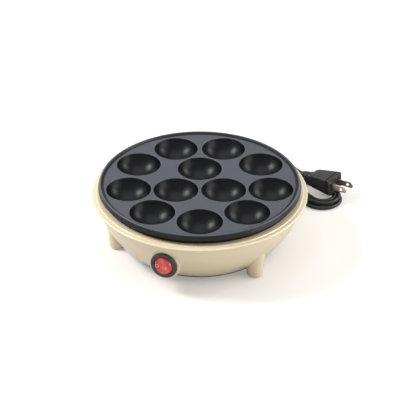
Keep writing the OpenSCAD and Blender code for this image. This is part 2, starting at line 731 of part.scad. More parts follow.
// The end of the tube turns down towards the gap and runs through the pan.
module heater_end(side) mirror([0, side > 0 ? 1 : 0, 0]) {
    translate([0, -heater_lap, heater_bend_r]) rotate([-90, 0, 0])
        cylinder(r = heater_r - heater_swage, h = heater_straight + 2 * heater_lap, $fn = mid);
    translate([0, heater_straight, 0]) rotate([90, 0, 90]) rotate_extrude(angle = 90, $fn = fine)
        translate([heater_bend_r, 0]) circle(heater_r, $fn = mid);
    translate([0, heater_turn, heater_leg_end - heater_z + heater_bend_r]) cylinder(
        r = heater_r - heater_swage, h = heater_z - heater_bend_r - heater_leg_end + heater_lap,
        $fn = mid
    );
}
module heater_pins() color(STEEL) at_heater_legs() translate([0, 0, heater_leg_end - pin_len])
    cylinder(r = pin_r, h = pin_len, $fn = small);
module heater_insulators() color(WHITE) at_heater_legs() difference() {
    union() {
        translate([0, 0, pan_floor_z])
            cylinder(r = insulator_flange_r, h = insulator_flange_h, $fn = mid);
        translate([0, 0, pan_under_z - 4])
            cylinder(r = insulator_r, h = pan_t + 4 + eps, $fn = mid);
    }
    translate([0, 0, pan_under_z - 5])
        cylinder(r = heater_r + touch, h = 12, $fn = mid);
}
module at_clip_rivets() round_axis(clip_angles, heater_ring_r)
    for (x = [-1, 1]) translate([x * clip_rivet_at, 0, 0]) children();
// Sheet clip that is riveted to the pan's floor and cradles the tube.
module heater_clips() color(STEEL) {
    sweep_deg = clip_w / heater_ring_r * 180 / PI;
    inner = heater_r + touch;
    outer = inner + clip_t;
    for (a = clip_angles) rotate(a - sweep_deg / 2)
        rotate_extrude(angle = sweep_deg, $fn = fine) translate([heater_ring_r, 0]) {
            translate([-outer - clip_foot, pan_floor_z]) square([2 * (outer + clip_foot), clip_t]);
            difference() {
                union() {
                    translate([0, heater_z]) circle(outer, $fn = mid);
                    for (x = [-1, 1]) translate([x * (inner + clip_t / 2) - clip_t / 2, pan_floor_z])
                        square([clip_t, heater_lift]);
                }
                translate([0, heater_z]) circle(inner, $fn = mid);
                translate([-2, heater_z]) square([4, heater_r + 4]);
            }
        }
    at_clip_rivets() {
        cylinder_from(clip_rivet_r, pan_under_z - eps, pan_floor_z + clip_t);
        for (z = [pan_under_z - 0.7, pan_floor_z + clip_t]) cylinder_from(1.8, z, z + 0.7);
    }
}

// ---- thermostat and fuse ---------------------------------------------------------------------------------
module at_rivets() for (y = [-1, 1]) translate([0, y * thermostat_ear_r, 0]) children();
module thermostat() color(BLACK) {
    cap_top = sense_boss_z - touch;
    cylinder_from(thermostat_r - 0.6, pan_under_z - thermostat_body_h, pan_under_z);
    cylinder_from(thermostat_r, pan_under_z - eps, cap_top);
    difference() {
        translate([0, 0, pan_under_z - thermostat_ear_t]) linear_extrude(thermostat_ear_t)
            rounded_2d([9, 2 * thermostat_ear_r + 7], 3);
        at_rivets() translate([0, 0, pan_under_z - 2]) cylinder(r = 1.3, h = 3, $fn = small);
    }
    for (x = [-1, 1]) translate([
        x * stat_blade_x - blade_terminal[1] / 2, -blade_terminal[0] / 2, stat_blade_z
    ]) cube([blade_terminal[1], blade_terminal[0], blade_terminal[2] + eps]);
}
module cylinder_from(r, z0, z1) translate([0, 0, z0]) cylinder(r = r, h = z1 - z0, $fn = mid);
module thermostat_rivets() color(STEEL) at_rivets() {
    cylinder_from(2.2, pan_floor_z, pan_floor_z + 0.8);
    cylinder_from(1.25, pan_under_z - thermostat_ear_t, pan_floor_z + eps);
    cylinder_from(2.2, pan_under_z - thermostat_ear_t - 0.8, pan_under_z - thermostat_ear_t);
}
module at_fuse() translate([fuse_at[0], fuse_at[1], fuse_z]) rotate(45) children();
module thermal_fuse() color(WHITE) at_fuse() rotate([0, 90, 0]) {
    cylinder(r = fuse_r, h = fuse_len, center = true, $fn = mid);
    cylinder(r = fuse_lead_r, h = 2 * fuse_tip, center = true, $fn = small);
}
module fuse_clip() color(STEEL) at_fuse() rotate([90, 0, 90]) {
    strap_r = fuse_r + slip + 0.6;
    up_h = pan_under_z - fuse_z;
    linear_extrude(5, center = true) difference() {
        union() {
            circle(strap_r, $fn = mid);
            translate([-strap_r, 0]) square([0.6, up_h]);
            translate([strap_r - 0.6, 0]) square([0.6, up_h]);
            translate([-strap_r - 4, up_h - 0.6]) square([2 * strap_r + 8, 0.6]);
        }
        circle(fuse_r + slip, $fn = mid);
    }
}

// ---- switch -----------------------------------------------------------------------------------------
module at_switch() outward(-90, switch_z) children();
module switch_bezel() color(BLACK) at_switch() difference() {
    edge = 1.5;
    union() {
        spin(mid) {
            translate([0, switch_face]) square([bezel_r - edge, bezel_t]);
            translate([0, switch_face]) square([bezel_r, bezel_t - edge]);
            intersection() {
                translate([bezel_r - edge, bezel_front - edge]) circle(edge, $fn = mid);
                translate([0, switch_face]) square([bezel_r, bezel_t]);
            }
        }
        translate([0, 0, switch_face - neck_len]) cylinder(r = neck_r, h = neck_len + eps, $fn = mid);
        translate([0, 0, body_back]) linear_extrude(switch_face - neck_len - body_back + eps)
            rounded_2d([body_w, body_h], 1.5);
        // snap tabs behind the boss's face
        for (x = [-1, 1]) translate([x * (neck_r - 0.4), 0, switch_face - boss_wall - 2.2])
            cube([2 * 1, 5, 4], center = true);
    }
    translate([0, 0, pivot_at]) sphere(rocker_cavity_r, $fn = fine);
    translate([0, 0, bezel_front - 0.7])
        cylinder(r1 = sqrt(pow(rocker_cavity_r, 2) - pow(pivot_depth - 0.7, 2)) - 0.4,
            r2 = sqrt(pow(rocker_cavity_r, 2) - pow(pivot_depth, 2)) + 0.7, h = 0.7 + eps, $fn = fine);
    translate([0, 0, body_back + 2]) cylinder(r = 7.5, h = pivot_at - body_back, $fn = mid);
    rotate([90, 0, 0]) translate([0, pivot_at, 0])
        cylinder(r = trunnion_r + running, h = 2 * (neck_r - 0.5), center = true, $fn = mid);
}
// The rocker about its pivot: x across the face, z outwards.
module rocker_form() {
    intersection() {
        sphere(rocker_ball_r, $fn = fine);
        rotate([90, 0, 0]) linear_extrude(3 * rocker_ball_r, center = true) polygon([
            [-12, -3.5], [12, -3.5], [12, rocker_face + 12 * tan(rocker_tilt)],
            [0, rocker_face], [-12, rocker_face + 12 * tan(rocker_tilt)]
        ]);
    }
    rotate([90, 0, 0])
        cylinder(r = trunnion_r, h = 2 * (neck_r - 0.7), center = true, $fn = mid);
}
module switch_rocker() color(RED) at_switch() translate([0, 0, pivot_at])
    rotate([0, rocker_tilt, 0]) rocker_form();
module switch_lamp() color([1, 0.6, 0.3, 0.8]) at_switch() {
    translate([0, 0, body_back + 2]) cylinder(r = lamp_r, h = 8, $fn = small);
    translate([0, 0, body_back + 10]) sphere(lamp_r, $fn = small);
}
module switch_terminals() color(BRASS) at_switch() for (x = [-1:1])
    translate([x * terminal_pitch, 0, body_back - terminal_len / 2])
        cube([0.8, 4.8, terminal_len], center = true);

// ---- wires under the pan -------------------------------------------------------------------------
module wire(path, colour) color(colour) tube(path, wire_d, 8);
side_step = [-sin(outlet_angle), cos(outlet_angle), 0] * 1.1;
module live_wire() wire(concat(
    [wire_in + side_step, wire_in + side_step - 3 * outlet_dir],
    hung([
        [-36, 45, 20.4], [-46, 36, 23.4], [-56, 24, 25.9], [-62, 8, 27.4], [-62, -10, 27.4],
        [-56, -28, 26.4], [-46, -44, 23.4], [-34, -56, 19.4], [-22, -62, 15.4], [-12, -63, 12.9]
    ]),
    [[-terminal_pitch, terminal_y + 4, switch_z], [-terminal_pitch, terminal_y + 0.1, switch_z]]
), BLACK);
module switched_wire() wire(concat(
    [[0, terminal_y + 0.1, switch_z], [0, terminal_y + 4, switch_z]],
    hung([
        [0.5, -59, 13.4], [1.5, -50, 16.9], [3, -40, 20.9], [4.5, -30, 23.9], [5.5, -20, 25.4],
        [5.8, -11, 24.4], [5.3, -4, 21.4], [stat_blade_x, 0, 17.9]
    ]),
    [[stat_blade_x, 0, stat_blade_z - 0.1]]
), RED);
module fused_wire() {
    tip_a = [fuse_at[0], fuse_at[1], fuse_z] + (fuse_tip + 0.1) * [cos(45), sin(45), 0];
    tip_b = [fuse_at[0], fuse_at[1], fuse_z] - (fuse_tip + 0.1) * [cos(45), sin(45), 0];
    wire(concat(
        [[-stat_blade_x, 0, stat_blade_z - 0.1]],
        hung([
            [-stat_blade_x, 0, 16.1], [-4.8, -1.5, 18.8], [-3.8, -4.6, 20.2], [-2, -8, 19.6],
            [-0.6, -10.2, 16.6], [-0.3, -10.6, 12.8], [-0.5, -10.2, 9.4], [-1.6, -10.2, 6.2],
            [-3.3, -11.5, 3.8]
        ]),
        [tip_a + [2.9, 2.9, 0], tip_a]
    ), WHITE);
    wire(concat(
        [tip_b, tip_b - [3.5, 3.5, 0]],
        hung([
            [-38, -44, 8.9], [-46, -46, 14.4], [-53, -42, 18.9], [-57, -32, 20.9],
            [-57.5, -18, 21.4], [-56.5, -6, 21.4], [-54.4, 4, 21.4], [-51.5, 10.4, 21.1],
            [pin_b[0] - 0.9, pin_b[1] - 0.7, 19.4], [pin_b[0], pin_b[1], 16.6]
        ]),
        [pin_b - [0, 0, 0.1]]
    ), WHITE);
}
module neutral_wire() wire(concat(
    [wire_in - side_step, wire_in - side_step - 3 * outlet_dir],
    hung([
        [-27, 50, 18.9], [-27.5, 45, 20.9], [-29.5, 40.5, 22.1], [-32.5, 37, 21.6],
        [pin_a[0] + 0.9, pin_a[1] + 0.5, 19.4], [pin_a[0], pin_a[1], 16.6]
    ]),
    [pin_a - [0, 0, 0.1]]
), WHITE);
module lamp_wire() wire(concat(
    [[terminal_pitch, terminal_y + 0.1, switch_z], [terminal_pitch, terminal_y + 4, switch_z]],
    hung([
        [8, -58, 14.4], [12, -48, 18.4], [17, -36, 22.9], [20, -22, 25.9], [20, -6, 26.9],
        [15, 8, 26.9], [6, 19, 26.4], [-5, 27, 25.4], [-16, 32, 24.2], [-24, 34, 21.9],
        [-29.4, 34.4, 19]
    ]),
    [
        pin_a + [pin_r + wire_d / 2 + 0.5, 0, -2.4],
        pin_a + [pin_r + wire_d / 2 + touch, 0, 2.4]
    ]
), [0.25, 0.35, 0.75]);

// ---- mains cord -----------------------------------------------------------------------------------
module at_outlet() outward(outlet_angle, outlet_z) children();
module cord_inner() color(BLACK) at_outlet() translate([0, 0, cord_inner_end])
    cylinder(r = cord_r, h = outlet_face - 8 - cord_inner_end, $fn = mid);
module cord_clamp() color(BLACK) rotate(outlet_angle) translate([clamp_at, 0, outlet_z]) difference() {
    union() {
        translate([0, 0, clamp_t / 2]) linear_extrude(clamp_t)
            rounded_2d([8, clamp_post_gap + 9], 2);
        for (y = [-1, 1]) translate([0, y * clamp_post_gap / 2, -cord_r])
            cylinder(r = post_r, h = cord_r + clamp_t / 2 + eps, $fn = mid);
        translate([-4, -cord_r - 1.6, clamp_t / 2 - 1]) cube([8, cord_d + 3.2, 2 + 1.4]);
    }
    rotate([0, 90, 0]) cylinder(r = cord_r + touch, h = 20, center = true, $fn = mid);
    for (y = [-1, 1]) translate([0, y * clamp_post_gap / 2, -10])
        cylinder(r = screw_r + 0.2, h = 20, $fn = small);
}
module clamp_screws() color(STEEL) at_clamp_posts()
    translate([0, 0, outlet_z + clamp_t * 1.5]) screw();
module cord_gland() color(BLACK) at_outlet() spin(mid) {
    translate([0, outlet_face - 8]) square([gland_hole_r, 8 + eps]);
    translate([0, outlet_face]) square([gland_flange_r - 0.8, gland_flange_t]);
    translate([0, outlet_face]) square([gland_flange_r, gland_flange_t - 0.8]);
    translate([gland_flange_r - 0.8, outlet_face + gland_flange_t - 0.8]) circle(0.8, $fn = small);
    polygon([
        [0, outlet_face], [gland_neck_r, outlet_face], [gland_neck_r, outlet_face + gland_flange_t],
        [cord_r + 1, gland_tip], [0, gland_tip]
    ]);
    for (i = [1:5]) translate([0, outlet_face + gland_flange_t + 3.2 * i - 1])
        square([gland_neck_r + 0.3 - 0.28 * i, 1.3]);
}
module cord_lead() color(BLACK) tube(lead_path, cord_d, 8);
module cord_tail() color(BLACK) tube(tail_path, cord_d, 8);
module cord_hank() color(BLACK) translate([hank_at[0], hank_at[1], 0]) rotate(hank_angle)
    tube(hank_path, cord_d, 6);
module cord_tie() color([0.2, 0.2, 0.2]) {
    half_w = hank_fold_r + hank_step * run_rings / 2 / loop_rings - hank_waist + cord_r + 0.3;
    top = hank_top + tie_lift + 0.3;
    translate([hank_at[0], hank_at[1], 0]) rotate(hank_angle)
        translate([-hank_run / 2, 0, top / 2 + tie_t / 2]) rotate([90, 0, 90])
            linear_extrude(tie_w, center = true) difference() {
                rounded_2d([2 * half_w + 2 * tie_t, top + tie_t], 2.2);
                rounded_2d([2 * half_w, top - tie_t], 1.4);
            }
}

// ---- plug ------------------------------------------------------------------------------------------
// Places children with +X out of the plug's front face and Z up.
module at_plug() translate([plug_front[0], plug_front[1], plug_z])
    rotate([0, -plug_pitch, plug_angle]) children();
// Slab of the plug's outline, t thick, that ends `back` behind the front face.
module plug_slab(back, t, size) translate([-back, 0, 0]) rotate([90, 0, 90])
    linear_extrude(t) rounded_2d(size, 2.4);
module plug_body() color(BLACK) at_plug() difference() {
    groove = 0.9;
    groove_end = plug_flange + 1.6;
    union() {
        plug_slab(plug_flange, plug_flange, [plug_w, plug_t]);
        plug_slab(groove_end, 1.6 + eps, [plug_w - 2 * groove, plug_t - 2 * groove]);
        hull() {
            plug_slab(groove_end + 0.2, 0.2 + eps, [plug_w - 0.5, plug_t - 0.5]);
            plug_slab(plug_len - 3.5, 0.2, [plug_back_w, plug_back_t]);
            plug_slab(plug_len, 0.2, [plug_back_w - 2.6, plug_back_t - 2.6]);
        }
    }
    plug_slab(plug_recess, plug_recess + 1, [plug_w - 6, plug_t - 8]);
    for (y = [-1, 1]) translate([-6, y * blade_pitch / 2, 0])
        cube([14, blade_t + 0.1, blade_w + 0.1], center = true);
}
module plug_blades() color(BRASS) at_plug() for (y = [-1, 1])
    translate([-8, y * blade_pitch / 2 - blade_t / 2, 0]) rotate([90, 0, 0])
        mirror([0, 0, 1]) linear_extrude(blade_t) difference() {
            polygon([
                [0, -blade_w / 2], [8 + blade_len - 1.5, -blade_w / 2], [8 + blade_len, -blade_w / 2 + 1.5],
                [8 + blade_len, blade_w / 2 - 1.5], [8 + blade_len - 1.5, blade_w / 2], [0, blade_w / 2]
            ]);
            translate([8 + 12, 0]) circle(1.6, $fn = small);
        }
module plug_relief() color(BLACK) at_plug() translate([-plug_len, 0, 0]) rotate([0, -90, 0]) spin(mid) {
    rib_pitch = relief_len / relief_ribs;
    bevel = 0.9;
    for (i = [0:relief_ribs - 1])
        let (
            r = relief_root_r + (relief_tip_r - relief_root_r) * i / (relief_ribs - 1),
            z = rib_pitch * i, top = z + rib_pitch * 0.7, end = z + rib_pitch
        )
        polygon([
            [0, z], [r - bevel, z], [r, z + bevel], [r, top - bevel], [r - bevel, top],
            [r - 1.2, end], [0, end]
        ]);
}

cooking_plate();
casing();
reflector_pan();
pan_screws();
heater_tube();
heater_clips();
heater_insulators();
heater_pins();
thermostat();
thermostat_rivets();
thermal_fuse();
fuse_clip();
bottom_cover();
cover_screws();
rubber_feet();
switch_bezel();
switch_rocker();
switch_lamp();
switch_terminals();
live_wire();
switched_wire();
fused_wire();
neutral_wire();
lamp_wire();
cord_inner();
cord_clamp();
clamp_screws();
cord_gland();
cord_lead();
cord_hank();
cord_tie();
cord_tail();
plug_relief();
plug_body();
plug_blades();
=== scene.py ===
"""A round dumpling cooker: camera, light, folded cord, switch marks and each piece's finish."""

from __future__ import annotations

import logging
import math
from dataclasses import dataclass
from enum import Enum
from typing import Any, Iterable, Sequence

import bmesh
import bpy
from mathutils import Matrix, Vector


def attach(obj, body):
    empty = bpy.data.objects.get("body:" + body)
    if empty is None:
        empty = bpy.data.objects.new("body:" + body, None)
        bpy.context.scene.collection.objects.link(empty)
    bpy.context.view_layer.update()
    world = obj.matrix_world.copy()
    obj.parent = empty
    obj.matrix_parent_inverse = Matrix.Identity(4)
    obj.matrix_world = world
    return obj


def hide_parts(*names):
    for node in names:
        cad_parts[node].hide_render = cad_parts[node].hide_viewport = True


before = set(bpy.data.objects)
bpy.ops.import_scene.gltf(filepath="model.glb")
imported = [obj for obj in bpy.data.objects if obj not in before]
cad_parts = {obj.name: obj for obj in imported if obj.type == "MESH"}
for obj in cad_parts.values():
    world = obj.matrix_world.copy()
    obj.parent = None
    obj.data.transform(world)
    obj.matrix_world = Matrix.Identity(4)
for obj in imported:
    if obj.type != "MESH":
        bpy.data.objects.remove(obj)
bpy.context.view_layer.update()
LOG = logging.getLogger("cooker")
ENDING = "_finish"  # keeps the finishes apart from the model's own plain materials
MM = 0.001

Colour = tuple[float, float, float]
Triple = tuple[float, float, float]
Pair = tuple[float, float]
Number = float | int


def rgba(colour: Colour) -> tuple[float, float, float, float]:
    """The colour with full opacity."""
    return (*colour, 1.0)


def scaled(colour: Colour, by: float) -> Colour:
    """The colour made lighter or darker."""
    return tuple(min(1.0, part * by) for part in colour)


# ---- shader tools -------------------------------------------------------------------------


class Value:
    """A number of a node tree, with arithmetic that adds Math nodes."""

    def __init__(self, graph: "Graph", source: "bpy.types.NodeSocket | Number") -> None:
        """Wraps a socket or a plain number of one tree."""
        self.graph = graph
        self.source = source

    def _math(self, operation: str, *others: "Value | Number") -> "Value":
        """Adds one Math node.

        Args:
            operation: The node's operation.
            others: The node's second and third numbers.

        Returns:
            The node's result.
        """
        inputs = dict(enumerate((self, *others)))
        made = self.graph.node("ShaderNodeMath", {"operation": operation}, inputs)
        return Value(self.graph, made.outputs[0])

    def __add__(self, other: "Value | Number") -> "Value":
        """Sum."""
        return self._math("ADD", other)

    __radd__ = __add__

    def __sub__(self, other: "Value | Number") -> "Value":
        """Difference."""
        return self._math("SUBTRACT", other)

    def __rsub__(self, other: Number) -> "Value":
        """Difference with the value taken away."""
        return Value(self.graph, other)._math("SUBTRACT", self)

    def __mul__(self, other: "Value | Number") -> "Value":
        """Product."""
        return self._math("MULTIPLY", other)

    __rmul__ = __mul__

    def __pow__(self, other: "Value | Number") -> "Value":
        """Power."""
        return self._math("POWER", other)

    def least(self, other: "Value | Number") -> "Value":
        """The smaller of two values."""
        return self._math("MINIMUM", other)

    def sine(self) -> "Value":
        """Sine of an angle in radians."""
        return self._math("SINE")

    def cosine(self) -> "Value":
        """Cosine of an angle in radians."""
        return self._math("COSINE")

    def arctan2(self, x: "Value") -> "Value":
        """Angle of the point whose y is this value."""
        return self._math("ARCTAN2", x)

    def folded(self, step: float) -> "Value":
        """The value wrapped to the range from minus half a step to half a step."""
        return self._math("WRAP", step / 2, -step / 2)

    def wave(self, rate: float) -> "Value":
        """A sine wave from 0 to 1, with a rate in radians to the metre."""
        return (self * rate).sine() * 0.5 + 0.5

    def about(self, span: float) -> "Value":
        """A value of 0 to 1, moved and scaled to span that much about 0."""
        return (self - 0.5) * span

    def rise(self, low: float, high: float, at: float = 0.0) -> "Value":
        """A smooth step.

        Args:
            low: Where it starts, at 0.
            high: Where it ends, at 1.
            at: What both are measured from.

        Returns:
            The step.
        """
        made = self.graph.node(
            "ShaderNodeMapRange",
            {"interpolation_type": "SMOOTHSTEP", "clamp": True},
            {0: self, 1: at + low, 2: at + high, 3: 0.0, 4: 1.0},
        )
        return Value(self.graph, made.outputs[0])


class Graph:
    """A node tree, and the one method that adds its nodes."""

    def __init__(self, tree: bpy.types.NodeTree) -> None:
        """Takes a tree and empties it."""
        self.tree = tree
        self.tree.nodes.clear()

    def node(
        self,
        kind: str,
        settings: dict[str, Any] | None = None,
        inputs: dict[int | str, Any] | None = None,
    ) -> bpy.types.Node:
        """Adds a node.

        Args:
            kind: The node's type.
            settings: Properties of the node, set first.
            inputs: Values or links of its sockets, by name or number.

        Returns:
            The node.
        """
        made = self.tree.nodes.new(kind)
        for key, value in (settings or {}).items():
            setattr(made, key, value)
        for key, value in (inputs or {}).items():
            self.feed(made.inputs[key], value)
        return made

    def feed(self, socket: bpy.types.NodeSocket, value: Any) -> None:
        """Links or sets one socket.

        Args:
            socket: The socket that takes the value.
            value: A Value, a socket, a number or a colour.
        """
        if isinstance(value, Value):
            value = value.source
        if isinstance(value, bpy.types.NodeSocket):
            self.tree.links.new(value, socket)
        else:
            socket.default_value = value

    def rays(self, *kinds: str) -> Value:
        """A mask of the rays of some kinds.

        Args:
            kinds: Names such as Camera or Glossy.

        Returns:
            1 for a ray of one of the kinds, or else 0.
        """
        outputs = self.node("ShaderNodeLightPath").outputs
        first, *others = (Value(self, outputs[f"Is {kind} Ray"]) for kind in kinds)
        return sum(others, start=first).least(1)


class Shader(Graph):
    """One procedural material: its node tree and its surface shader."""

    def __init__(self, name: str) -> None:
        """Starts an empty material."""
        self.material = bpy.data.materials.new(name + ENDING)
        self.material.use_nodes = True
        super().__init__(self.material.node_tree)
        self.surface = self.node("ShaderNodeBsdfPrincipled")
        self.node("ShaderNodeOutputMaterial", None, {"Surface": self.surface.outputs[0]})
        self._place = self.node("ShaderNodeTexCoord").outputs["Object"]

    def set(self, **sockets: Any) -> None:
        """Sets sockets of the surface shader, with underscores for the spaces in their names."""
        for key, value in sockets.items():
            self.feed(self.surface.inputs[key.replace("_", " ")], value)

    def axis(self, index: int) -> Value:
        """The x, y or z of a point on the surface, in metres."""
        split = self.node("ShaderNodeSeparateXYZ", None, {0: self._place})
        return Value(self, split.outputs[index])

    def radius(self) -> Value:
        """Distance of a point on the surface from the upright axis, in metres."""
        x, y = self.axis(0), self.axis(1)
        return (x * x + y * y) ** 0.5

    def stretched(self, scale: Sequence[float]) -> bpy.types.NodeSocket:
        """The point's coordinates, each scaled by its own factor."""
        inputs = {"Vector": self._place, "Scale": scale}
        return self.node("ShaderNodeMapping", {"vector_type": "POINT"}, inputs).outputs[0]

    def noise(
        self,
        scale: float,
        detail: float = 2.0,
        rough: float = 0.5,
        place: bpy.types.NodeSocket | None = None,
    ) -> Value:
        """Noise from 0 to 1.

        Args:
            scale: Cells to the metre.
            detail: How many octaves it has.
            rough: How strong the finer octaves are.
            place: Coordinates to use in place of the object's own.

        Returns:
            The noise.
        """
        made = self.node(
            "ShaderNodeTexNoise",
            None,
            {"Vector": place or self._place, "Scale": scale, "Detail": detail, "Roughness": rough},
        )
        return Value(self, made.outputs[0])

    def mix(self, factor: Value | Number, first: Any, second: Any) -> bpy.types.NodeSocket:
        """Blends two colours.

        Args:
            factor: How much of the second.
            first: Colour at 0.
            second: Colour at 1.

        Returns:
            The blended colour.
        """
        made = self.node("ShaderNodeMix", {"data_type": "RGBA", "clamp_factor": True}, {0: factor})
        for slot, colour in ((6, first), (7, second)):
            self.feed(made.inputs[slot], rgba(colour) if isinstance(colour, tuple) else colour)
        return made.outputs[2]

    def bump(self, height: Value, depth: float, strength: float = 1.0) -> None:
        """Adds relief to the surface.

        Args:
            height: Relief from 0 to 1.
            depth: Its depth in metres.
            strength: How much of it shows.
        """
        inputs = {"Strength": strength, "Distance": depth, "Height": height}
        self.set(Normal=self.node("ShaderNodeBump", None, inputs).outputs[0])


# ---- finishes -----------------------------------------------------------------------------
# Scales of noise are in cells to the metre, and rates of turned lines in radians to the metre.


@dataclass(frozen=True)
class Finish:
    """A plain finish: a colour that varies a little, a gloss and a fine relief."""

    name: str
    colour: Colour
    rough: float = 0.5
    metal: float = 0.0
    vary: float = 0.12
    grain: float = 900.0
    relief: float = 0.00002
    stretch: Triple = (1.0, 1.0, 1.0)
    cloud: float = 28.0
    fine_share: float = 0.4
    rough_span: float = 0.12

    def make(self) -> bpy.types.Material:
        """Builds the material.

        Returns:
            The material.
        """
        shader = Shader(self.name)
        fine = shader.noise(self.grain, 3.0, 0.55, shader.stretched(self.stretch))
        wide = shader.noise(self.cloud)
        tone = fine * self.fine_share + wide * (1 - self.fine_share)
        dark, light = (scaled(self.colour, 1 + by) for by in (-self.vary, self.vary))
        shader.set(
            Base_Color=shader.mix(tone, dark, light),
            Roughness=self.rough + tone.about(self.rough_span),
            Metallic=self.metal,
        )
        self.dress(shader)
        shader.bump(fine, self.relief)
        return shader.material

    def dress(self, shader: Shader) -> None:
        """Adds what a special finish has; a plain one has nothing more."""


@dataclass(frozen=True)
class GlossFinish(Finish):
    """A finish under a clear skin, such as a polished moulding."""

    coat: float = 0.4
    coat_rough: float = 0.12

    def dress(self, shader: Shader) -> None:
        """Adds the clear skin."""
        shader.set(Coat_Weight=self.coat, Coat_Roughness=self.coat_rough)


@dataclass(frozen=True)
class CastCoating:
    """The plate's non-stick coating: slate and turned on the field, near-black in the pits; the
    field's slate is partly a painted reflection, the gutter and skirt carry painted shade, and the
    pit rims and lip crest carry painted highlights.
    """

    name: str = "cast_coating"
    # field_colour: the coating's own slate, made lighter than the near-black pits by a painted
    # reflection of a bright backdrop on the flat field
    field_colour: Colour = (0.059, 0.064, 0.075)
    pit_colour: Colour = (0.0020, 0.0022, 0.0036)
    # near-black of the smooth coating, partly painted shade, laid on the gutter and the outer
    # skirt
    coat_and_shade_colour: Colour = (0.0185, 0.0190, 0.0215)
    # colour of the painted highlights on the pit rims and along the lip's crest
    painted_highlight_colour: Colour = (0.150, 0.156, 0.168)
    pebble_light: float = 1.35
    cloud_dark: float = 0.8
    pit_light: float = 1.5
    brim_light: float = 1.3
    # strengths of the painted highlights on the pit rims and on the lip's crest
    rim_highlight: float = 0.45
    crest_highlight: float = 0.4
    gutter_shade: float = 0.85

    field_z: float = 0.0665
    field_r: float = 0.0952
    lip_r: float = 0.0978
    crest_z: float = 0.0685
    pit_r: float = 0.0225
    rings: tuple[tuple[float, float, int], ...] = (
        (0.0272, math.radians(110), 3),
        (0.0713, math.radians(130), 9),
    )
    pit_edge: Pair = (-0.0005, 0.0003)
    pit_mouth: Pair = (0.0001, 0.0012)
    rim_inside: Pair = (-0.0012, -0.0002)
    rim_outside: Pair = (0.0001, 0.0008)
    crest_edge: Pair = (-0.0007, -0.0001)
    skirt_edge: Pair = (-0.0014, -0.0006)
    lip_edge: Pair = (-0.0002, 0.0003)
    gutter_edge: Pair = (0.0002, 0.0006)

    pebble: float = 1500.0
    cloud: float = 35.0
    pit_lines: float = 3900.0
    field_lines: float = 3600.0
    pit_line_height: float = 0.34
    field_line_height: float = 0.55
    pebble_calm: float = 0.75
    relief: float = 0.00006
    relief_strength: float = 0.85
    rough: float = 0.47
    rough_span: float = 0.14
    pit_gloss: float = 0.15
    brim_gloss: float = 0.19
    ior: float = 1.245

    @staticmethod
    def from_pit(shader: Shader, ring_r: float, turn: float, count: int) -> Value:
        """Distance from the nearest pit's axis in one ring of pits.

        Args:
            shader: The material.
            ring_r: Radius of the ring.
            turn: Angle of one pit.
            count: How many pits there are.

        Returns:
            The distance in metres.
        """
        radius = shader.radius()
        bearing = shader.axis(1).arctan2(shader.axis(0))
        angle = (bearing - turn).folded(2 * math.pi / count)
        along = radius * angle.cosine() - ring_r
        across = radius * angle.sine()
        return (along * along + across * across) ** 0.5

    def make(self) -> bpy.types.Material:
        """Builds the material.

        Returns:
            The material.
        """
        shader = Shader(self.name)
        inner, outer = (self.from_pit(shader, *ring) for ring in self.rings)
        near, height, radius = inner.least(outer), shader.axis(2), shader.radius()
        depth = self.field_z - height
        in_pit = (1 - near.rise(*self.pit_edge, at=self.pit_r)) * depth.rise(*self.pit_mouth)
        # band round each pit's mouth that takes a painted highlight
        rim = near.rise(*self.rim_inside, at=self.pit_r) * (
            1 - near.rise(*self.rim_outside, at=self.pit_r)
        )
        # top of the lip that takes a painted highlight
        crest = height.rise(*self.crest_edge, at=self.crest_z)
        lip = radius.rise(*self.lip_edge, at=self.lip_r)
        gutter = radius.rise(*self.gutter_edge, at=self.field_r) - lip
        skirt = lip * (1 - height.rise(*self.skirt_edge, at=self.crest_z))
        even = (in_pit + gutter + lip).least(1)

        pebble = shader.noise(self.pebble, 3.0, 0.6)
        cloud = shader.noise(self.cloud, 3.0)
        bright = scaled(self.field_colour, self.pebble_light)
        # the field's slate, partly a painted reflection of a bright backdrop
        field = shader.mix(pebble.rise(0.3, 0.7), self.field_colour, bright)
        field = shader.mix(cloud * 0.35, field, scaled(self.field_colour, self.cloud_dark))
        # painted highlight round the pit rims
        field = shader.mix(rim * self.rim_highlight, field, self.painted_highlight_colour)
        pit = shader.mix(cloud * 0.6, self.pit_colour, scaled(self.pit_colour, self.pit_light))
        # smooth near-black coating with painted shade
        coat_and_shade = shader.mix(cloud * 0.6, self.coat_and_shade_colour, scaled(self.coat_and_shade_colour, self.brim_light))
        colour = shader.mix(in_pit, field, pit)
        # painted shade in the gutter and on the outer skirt
        colour = shader.mix((gutter * self.gutter_shade + skirt).least(1), colour, coat_and_shade)
        shader.set(
            # painted highlight along the lip's crest
            Base_Color=shader.mix(crest * self.crest_highlight, colour, self.painted_highlight_colour),
            Roughness=self.rough
            + pebble.about(self.rough_span)
            - in_pit * self.pit_gloss
            - (gutter + lip) * self.brim_gloss,
            IOR=self.ior,
        )
        turned = near.wave(self.pit_lines) * in_pit * self.pit_line_height
        lines = radius.wave(self.field_lines) * (1 - even) * self.field_line_height
        relief = pebble * (1 - even * self.pebble_calm) + turned + lines
        shader.bump(relief, self.relief, self.relief_strength)
        return shader.material


